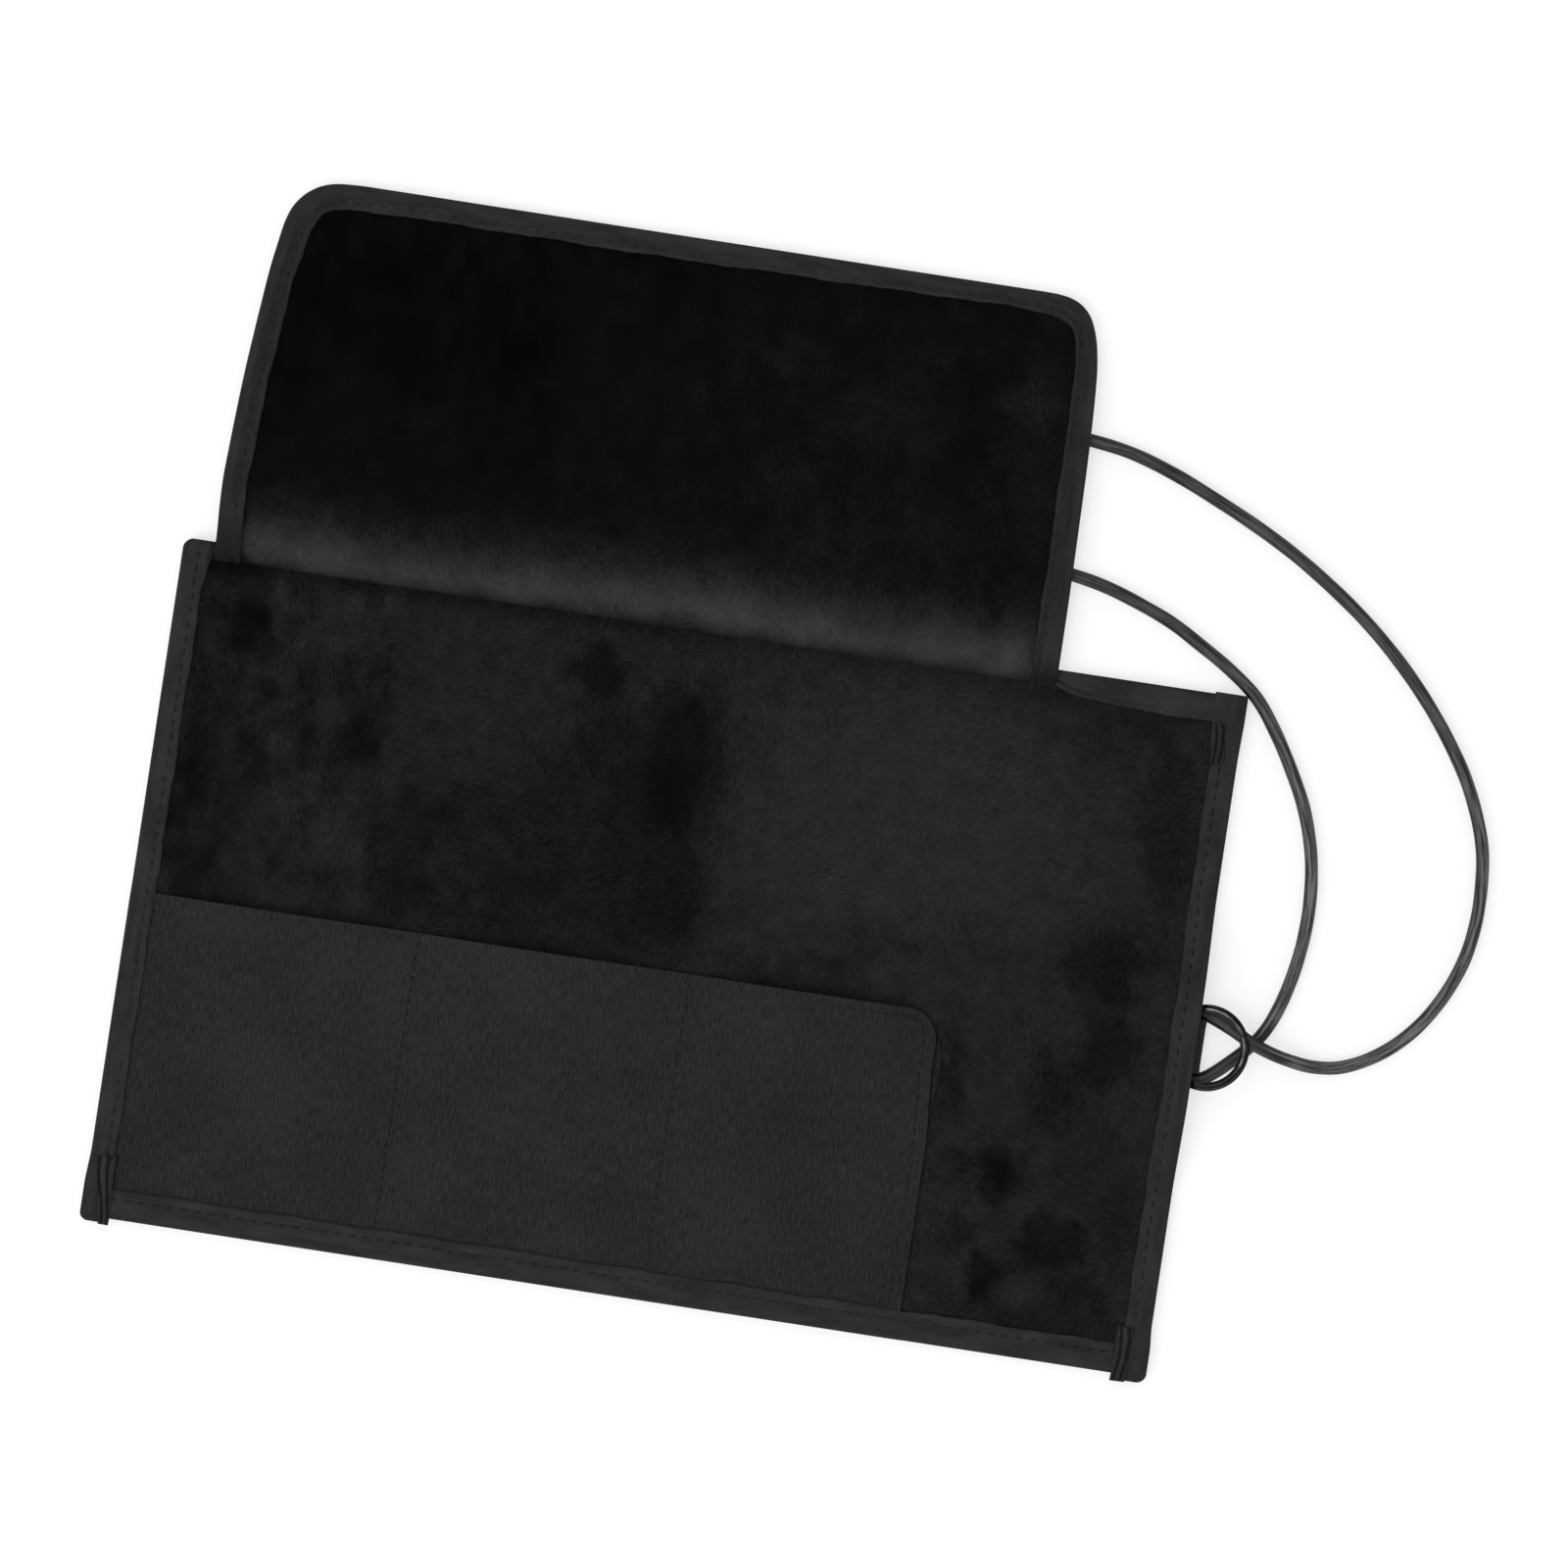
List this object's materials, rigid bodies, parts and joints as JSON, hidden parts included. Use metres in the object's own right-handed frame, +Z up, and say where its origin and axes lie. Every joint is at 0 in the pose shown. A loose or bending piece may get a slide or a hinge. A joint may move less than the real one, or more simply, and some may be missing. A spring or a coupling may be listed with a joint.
{
  "type": "watch roll",
  "caption": "Padded cloth watch roll laid open: stitched pockets on a velvet-lined panel, an open protective flap, bound edges, a split ring and a closing cord.",
  "frame": {"origin": "on the surface it lies on, at the middle of the object's footprint without the loose cord", "axes": "+X along the panel towards the edge with the closing cord, +Y towards the tip of the open flap, +Z up out of the lining"},
  "size_m": [0.3898, 0.3086, 0.0108],
  "materials": {
    "canvas": "matt woven canvas",
    "velvet": "short velvet pile",
    "binding": "ribbed tape",
    "padding": "felt",
    "cord": "round leather cord, soft sheen",
    "ring": "gloss black"
  },
  "bodies": {
    "panel_1": {"canvas_1": "canvas", "padding_1": "padding", "velvet_1": "velvet", "top_binding_1": "binding", "bottom_binding_1": "binding", "left_binding": "binding", "pocket_1": "canvas"},
    "panel_2": {"canvas_2": "canvas", "padding_2": "padding", "velvet_2": "velvet", "top_binding_2": "binding", "bottom_binding_2": "binding", "pocket_2": "canvas"},
    "panel_3": {"canvas_3": "canvas", "padding_3": "padding", "velvet_3": "velvet", "top_binding_3": "binding", "bottom_binding_3": "binding", "pocket_3": "canvas"},
    "panel_4": {"canvas_4": "canvas", "padding_4": "padding", "velvet_4": "velvet", "top_binding_4": "binding", "bottom_binding_4": "binding", "right_binding": "binding", "closure_loop": "binding", "cord_bight": "cord", "cord_outer_tail": "cord", "cord_inner_tail": "cord"},
    "flap_1": {"flap_canvas_1": "canvas", "flap_velvet_1": "velvet", "flap_binding_1": "binding"},
    "flap_2": {"flap_canvas_2": "canvas", "flap_velvet_2": "velvet", "flap_binding_2": "binding"},
    "flap_3": {"flap_canvas_3": "canvas", "flap_velvet_3": "velvet", "flap_binding_3": "binding"},
    "ring": {"split_ring": "ring"}
  },
  "joints": [
    {"name": "roll_1", "type": "hinge", "parent": "panel_2", "child": "panel_1", "pos_m": [-0.07922, -0.054, 0.0071], "axis": [0, 1, 0], "range_deg": [0, 90]},
    {"name": "roll_2", "type": "hinge", "parent": "panel_3", "child": "panel_2", "pos_m": [0.00028, -0.054, 0.0071], "axis": [0, 1, 0], "range_deg": [0, 90]},
    {"name": "roll_3", "type": "hinge", "parent": "panel_4", "child": "panel_3", "pos_m": [0.09428, -0.054, 0.0071], "axis": [0, 1, 0], "range_deg": [0, 90]},
    {"name": "flap_fold_1", "type": "hinge", "parent": "panel_1", "child": "flap_1", "pos_m": [-0.11722, 0.0415, 0.0071], "axis": [1, 0, 0], "range_deg": [0, 179]},
    {"name": "flap_fold_2", "type": "hinge", "parent": "panel_2", "child": "flap_2", "pos_m": [-0.03947, 0.0415, 0.0071], "axis": [1, 0, 0], "range_deg": [0, 179]},
    {"name": "flap_fold_3", "type": "hinge", "parent": "panel_3", "child": "flap_3", "pos_m": [0.04653, 0.0415, 0.0071], "axis": [1, 0, 0], "range_deg": [0, 179]},
    {"name": "ring_spin", "type": "hinge", "parent": "panel_4", "child": "ring", "pos_m": [0.15138, -0.0558, 0.0066], "axis": [-0.2334, 0, 0.9724], "continuous": true}
  ],
  "couplings": [
    {"joint": "flap_fold_1", "follows": "flap_fold_3", "ratio": 1},
    {"joint": "flap_fold_2", "follows": "flap_fold_3", "ratio": 1}
  ]
}
